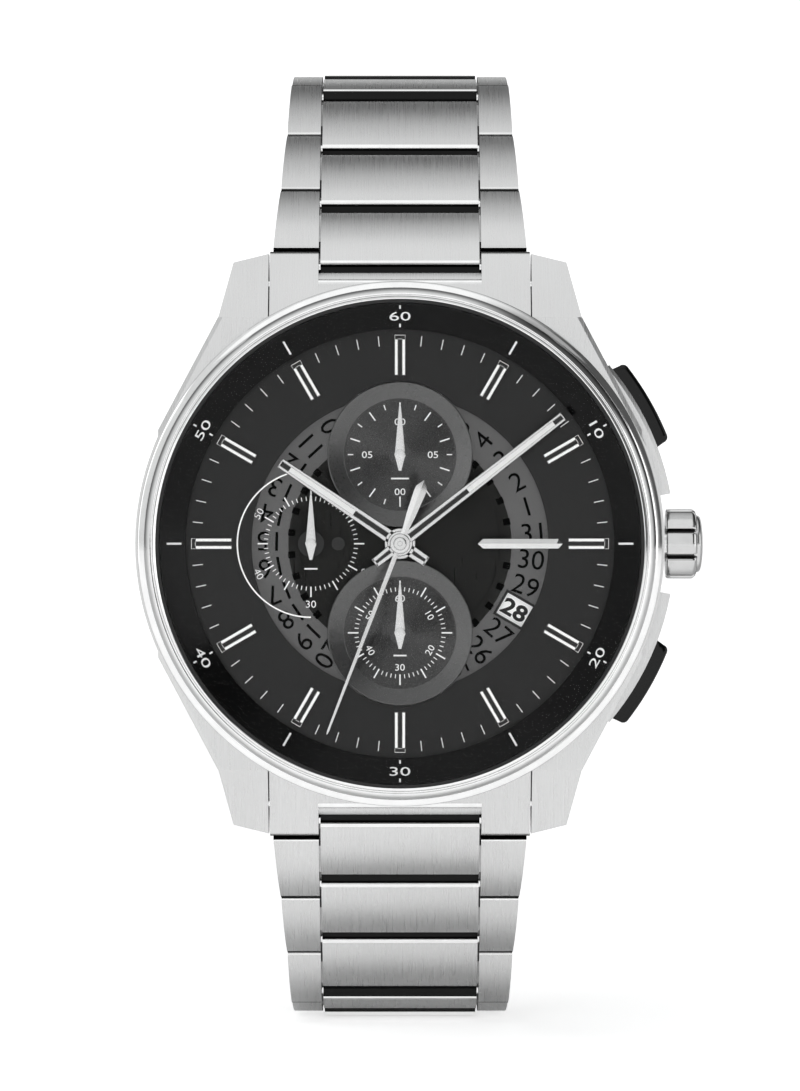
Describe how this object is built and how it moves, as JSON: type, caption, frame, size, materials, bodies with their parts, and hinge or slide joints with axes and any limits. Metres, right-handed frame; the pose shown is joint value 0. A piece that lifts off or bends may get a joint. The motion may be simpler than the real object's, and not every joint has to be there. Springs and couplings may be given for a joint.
{
  "type": "chronograph wristwatch",
  "caption": "Round steel quartz chronograph with sub-dials, date, crown, pushers and a rigid-link bracelet that opens at a folding butterfly clasp.",
  "frame": {"origin": "centre of the case back's flat outer face", "axes": "+X towards the crown at 3 o'clock, +Y out of the case back into the wrist opening, so the dial faces -Y, and +Z towards 12 o'clock"},
  "size_m": [0.0476, 0.0475, 0.0838],
  "materials": {
    "polished_steel": "polished",
    "brushed_steel": "brushed",
    "gloss_black": "gloss",
    "dial_black": "satin",
    "smoked": "satin",
    "sapphire": "polished",
    "hand_steel": "polished",
    "brass": "satin",
    "nickel": "satin",
    "board_green": "matte",
    "copper": "satin",
    "seal": "matte",
    "holder": "matte",
    "date_grey": "matte"
  },
  "bodies": {
    "case": {"mid_case": "polished_steel", "bezel": "polished_steel", "crystal": "sapphire", "flange_ring": "gloss_black", "case_back": "brushed_steel", "gaskets": "seal", "case_back_screws": "brushed_steel", "case_tubes": "brushed_steel", "movement_holder": "holder", "dial": "dial_black", "dial_center": "smoked", "hour_markers": "hand_steel", "subdial_rings": "dial_black", "main_plate": "nickel", "train_bridge": "nickel", "circuit_board": "board_green", "motor_coils": "copper", "battery": "brushed_steel", "movement_screws": "brushed_steel", "pusher_springs": "brushed_steel", "end_links": "brushed_steel", "spring_bars": "brushed_steel"},
    "hour_hand": {"hour_hand": "hand_steel", "hour_wheel": "brass"},
    "minute_hand": {"minute_hand": "hand_steel", "center_wheel": "brass"},
    "seconds_hand": {"seconds_hand": "hand_steel", "seconds_wheel": "brass"},
    "tenths_hand": {"tenths_hand": "hand_steel"},
    "minute_counter_hand": {"minute_counter_hand": "hand_steel"},
    "second_counter_hand": {"second_counter_hand": "hand_steel"},
    "date_ring": {"date_ring": "date_grey"},
    "minute_wheel": {"minute_wheel": "brass"},
    "third_wheel": {"third_wheel": "brass"},
    "stem_detent": {"stem_detent": "brushed_steel"},
    "crown": {"crown": "polished_steel", "stem": "brushed_steel"},
    "upper_pusher": {"upper_pusher": "gloss_black"},
    "lower_pusher": {"lower_pusher": "gloss_black"},
    "upper_link_1": {"upper_link_1": "brushed_steel"},
    "upper_link_2": {"upper_link_2": "brushed_steel"},
    "upper_link_3": {"upper_link_3": "brushed_steel"},
    "upper_link_4": {"upper_link_4": "brushed_steel"},
    "upper_link_5": {"upper_link_5": "brushed_steel"},
    "upper_link_6": {"upper_link_6": "brushed_steel"},
    "upper_link_7": {"upper_link_7": "brushed_steel"},
    "upper_link_8": {"upper_link_8": "brushed_steel"},
    "lower_link_1": {"lower_link_1": "brushed_steel"},
    "lower_link_2": {"lower_link_2": "brushed_steel"},
    "lower_link_3": {"lower_link_3": "brushed_steel"},
    "lower_link_4": {"lower_link_4": "brushed_steel"},
    "lower_link_5": {"lower_link_5": "brushed_steel"},
    "lower_link_6": {"lower_link_6": "brushed_steel"},
    "lower_link_7": {"lower_link_7": "brushed_steel"},
    "lower_link_8": {"lower_link_8": "brushed_steel"},
    "upper_leaf": {"upper_leaf": "brushed_steel"},
    "clasp_plate": {"clasp_plate": "brushed_steel"},
    "lower_leaf": {"lower_leaf": "brushed_steel"},
    "left_button": {"left_button": "polished_steel"},
    "right_button": {"right_button": "polished_steel"}
  },
  "joints": [
    {"name": "seconds_turn", "type": "hinge", "parent": "case", "child": "seconds_hand", "pos_m": [0, -0.00885, 0], "axis": [0, 1, 0], "continuous": true},
    {"name": "minute_turn", "type": "hinge", "parent": "case", "child": "minute_hand", "pos_m": [0, -0.00845, 0], "axis": [0, 1, 0], "continuous": true},
    {"name": "hour_turn", "type": "hinge", "parent": "case", "child": "hour_hand", "pos_m": [0, -0.00805, 0], "axis": [0, 1, 0], "continuous": true},
    {"name": "third_wheel_turn", "type": "hinge", "parent": "case", "child": "third_wheel", "pos_m": [-0.00481, -0.00285, 0.00481], "axis": [0, 1, 0], "continuous": true},
    {"name": "minute_wheel_turn", "type": "hinge", "parent": "case", "child": "minute_wheel", "pos_m": [0.00271, -0.00605, 0.00271], "axis": [0, 1, 0], "continuous": true},
    {"name": "date_turn", "type": "hinge", "parent": "case", "child": "date_ring", "pos_m": [0, -0.0066, 0], "axis": [0, 1, 0], "continuous": true},
    {"name": "tenths_turn", "type": "hinge", "parent": "case", "child": "tenths_hand", "pos_m": [0, -0.00762, 0.00745], "axis": [0, 1, 0], "continuous": true},
    {"name": "second_counter_turn", "type": "hinge", "parent": "case", "child": "second_counter_hand", "pos_m": [0, -0.00762, -0.00745], "axis": [0, 1, 0], "continuous": true},
    {"name": "minute_counter_turn", "type": "hinge", "parent": "case", "child": "minute_counter_hand", "pos_m": [-0.00745, -0.00762, 0], "axis": [0, 1, 0], "continuous": true},
    {"name": "crown_pull", "type": "slide", "parent": "case", "child": "stem_detent", "axis": [1, 0, 0], "range_m": [0, 0.0015]},
    {"name": "crown_turn", "type": "hinge", "parent": "stem_detent", "child": "crown", "pos_m": [0.02235, -0.0045, 0], "axis": [1, 0, 0], "continuous": true},
    {"name": "upper_pusher_press", "type": "slide", "parent": "case", "child": "upper_pusher", "axis": [-0.866, 0, -0.5], "range_m": [0, 0.0009], "stiffness_N_per_m": 150, "springref_m": -0.004},
    {"name": "lower_pusher_press", "type": "slide", "parent": "case", "child": "lower_pusher", "axis": [-0.866, 0, 0.5], "range_m": [0, 0.0009], "stiffness_N_per_m": 150, "springref_m": -0.004},
    {"name": "upper_link_1_bend", "type": "hinge", "parent": "case", "child": "upper_link_1", "pos_m": [0, -0.003, 0.0232], "axis": [-1, 0, 0], "range_deg": [0, 40.82]},
    {"name": "upper_link_2_bend", "type": "hinge", "parent": "upper_link_1", "child": "upper_link_2", "pos_m": [0, 0.0029, 0.0289], "axis": [-1, 0, 0], "range_deg": [-7.98, 0]},
    {"name": "upper_link_3_bend", "type": "hinge", "parent": "upper_link_2", "child": "upper_link_3", "pos_m": [0, 0.00927, 0.03406], "axis": [-1, 0, 0], "range_deg": [-10.06, 0]},
    {"name": "upper_link_4_bend", "type": "hinge", "parent": "upper_link_3", "child": "upper_link_4", "pos_m": [0, 0.01582, 0.03899], "axis": [-1, 0, 0], "range_deg": [-35.06, 0]},
    {"name": "upper_link_5_bend", "type": "hinge", "parent": "upper_link_4", "child": "upper_link_5", "pos_m": [0, 0.02389, 0.04041], "axis": [-1, 0, 0], "range_deg": [-56.06, 0]},
    {"name": "upper_link_6_bend", "type": "hinge", "parent": "upper_link_5", "child": "upper_link_6", "pos_m": [0, 0.03036, 0.03537], "axis": [-1, 0, 0], "range_deg": [-37.06, 0]},
    {"name": "upper_link_7_bend", "type": "hinge", "parent": "upper_link_6", "child": "upper_link_7", "pos_m": [0, 0.03356, 0.02782], "axis": [-1, 0, 0], "range_deg": [0, 29.67]},
    {"name": "upper_link_8_bend", "type": "hinge", "parent": "upper_link_7", "child": "upper_link_8", "pos_m": [0, 0.0347, 0.0197], "axis": [-1, 0, 0], "range_deg": [0, 44.21]},
    {"name": "lower_link_1_bend", "type": "hinge", "parent": "case", "child": "lower_link_1", "pos_m": [0, -0.003, -0.0232], "axis": [1, 0, 0], "range_deg": [0, 40.82]},
    {"name": "lower_link_2_bend", "type": "hinge", "parent": "lower_link_1", "child": "lower_link_2", "pos_m": [0, 0.0029, -0.0289], "axis": [1, 0, 0], "range_deg": [-7.98, 0]},
    {"name": "lower_link_3_bend", "type": "hinge", "parent": "lower_link_2", "child": "lower_link_3", "pos_m": [0, 0.00927, -0.03406], "axis": [1, 0, 0], "range_deg": [-10.06, 0]},
    {"name": "lower_link_4_bend", "type": "hinge", "parent": "lower_link_3", "child": "lower_link_4", "pos_m": [0, 0.01582, -0.03899], "axis": [1, 0, 0], "range_deg": [-35.06, 0]},
    {"name": "lower_link_5_bend", "type": "hinge", "parent": "lower_link_4", "child": "lower_link_5", "pos_m": [0, 0.02389, -0.04041], "axis": [1, 0, 0], "range_deg": [-56.06, 0]},
    {"name": "lower_link_6_bend", "type": "hinge", "parent": "lower_link_5", "child": "lower_link_6", "pos_m": [0, 0.03036, -0.03537], "axis": [1, 0, 0], "range_deg": [-37.06, 0]},
    {"name": "lower_link_7_bend", "type": "hinge", "parent": "lower_link_6", "child": "lower_link_7", "pos_m": [0, 0.03356, -0.02782], "axis": [1, 0, 0], "range_deg": [0, 29.67]},
    {"name": "lower_link_8_bend", "type": "hinge", "parent": "lower_link_7", "child": "lower_link_8", "pos_m": [0, 0.0347, -0.0197], "axis": [1, 0, 0], "range_deg": [0, 44.21]},
    {"name": "upper_leaf_swing", "type": "hinge", "parent": "upper_link_8", "child": "upper_leaf", "pos_m": [0, 0.03499, 0.0115], "axis": [-1, 0, 0], "range_deg": [-72.8, 0]},
    {"name": "clasp_open", "type": "hinge", "parent": "upper_leaf", "child": "clasp_plate", "pos_m": [0, 0.03138, 0.02443], "axis": [-1, 0, 0], "range_deg": [0, 104.29]},
    {"name": "lower_leaf_swing", "type": "hinge", "parent": "clasp_plate", "child": "lower_leaf", "pos_m": [0, 0.03138, -0.02443], "axis": [1, 0, 0], "range_deg": [-104.3, 0]},
    {"name": "right_button_press", "type": "slide", "parent": "clasp_plate", "child": "right_button", "axis": [-1, 0, 0], "range_m": [0, 0.0008], "stiffness_N_per_m": 150, "springref_m": -0.003},
    {"name": "left_button_press", "type": "slide", "parent": "clasp_plate", "child": "left_button", "axis": [1, 0, 0], "range_m": [0, 0.0008], "stiffness_N_per_m": 150, "springref_m": -0.003}
  ],
  "couplings": [
    {"joint": "third_wheel_turn", "follows": "seconds_turn", "ratio": -0.13333},
    {"joint": "minute_turn", "follows": "seconds_turn", "ratio": 0.016667},
    {"joint": "minute_wheel_turn", "follows": "seconds_turn", "ratio": -0.0055556},
    {"joint": "hour_turn", "follows": "seconds_turn", "ratio": 0.0013889},
    {"joint": "date_turn", "follows": "seconds_turn", "ratio": 0.000022401},
    {"joint": "second_counter_turn", "follows": "tenths_turn", "ratio": 0.033333},
    {"joint": "minute_counter_turn", "follows": "tenths_turn", "ratio": 0.00055556},
    {"joint": "upper_link_1_bend", "follows": "clasp_open", "ratio": 0.39131},
    {"joint": "upper_link_2_bend", "follows": "clasp_open", "ratio": -0.076422},
    {"joint": "upper_link_3_bend", "follows": "clasp_open", "ratio": -0.096366},
    {"joint": "upper_link_4_bend", "follows": "clasp_open", "ratio": -0.33608},
    {"joint": "upper_link_5_bend", "follows": "clasp_open", "ratio": -0.53744},
    {"joint": "upper_link_6_bend", "follows": "clasp_open", "ratio": -0.35526},
    {"joint": "upper_link_7_bend", "follows": "clasp_open", "ratio": 0.2844},
    {"joint": "upper_link_8_bend", "follows": "clasp_open", "ratio": 0.42382},
    {"joint": "lower_link_1_bend", "follows": "clasp_open", "ratio": 0.39131},
    {"joint": "lower_link_2_bend", "follows": "clasp_open", "ratio": -0.076422},
    {"joint": "lower_link_3_bend", "follows": "clasp_open", "ratio": -0.096366},
    {"joint": "lower_link_4_bend", "follows": "clasp_open", "ratio": -0.33608},
    {"joint": "lower_link_5_bend", "follows": "clasp_open", "ratio": -0.53744},
    {"joint": "lower_link_6_bend", "follows": "clasp_open", "ratio": -0.35526},
    {"joint": "lower_link_7_bend", "follows": "clasp_open", "ratio": 0.2844},
    {"joint": "lower_link_8_bend", "follows": "clasp_open", "ratio": 0.42382},
    {"joint": "upper_leaf_swing", "follows": "clasp_open", "ratio": -0.69796},
    {"joint": "lower_leaf_swing", "follows": "clasp_open", "ratio": -1}
  ]
}
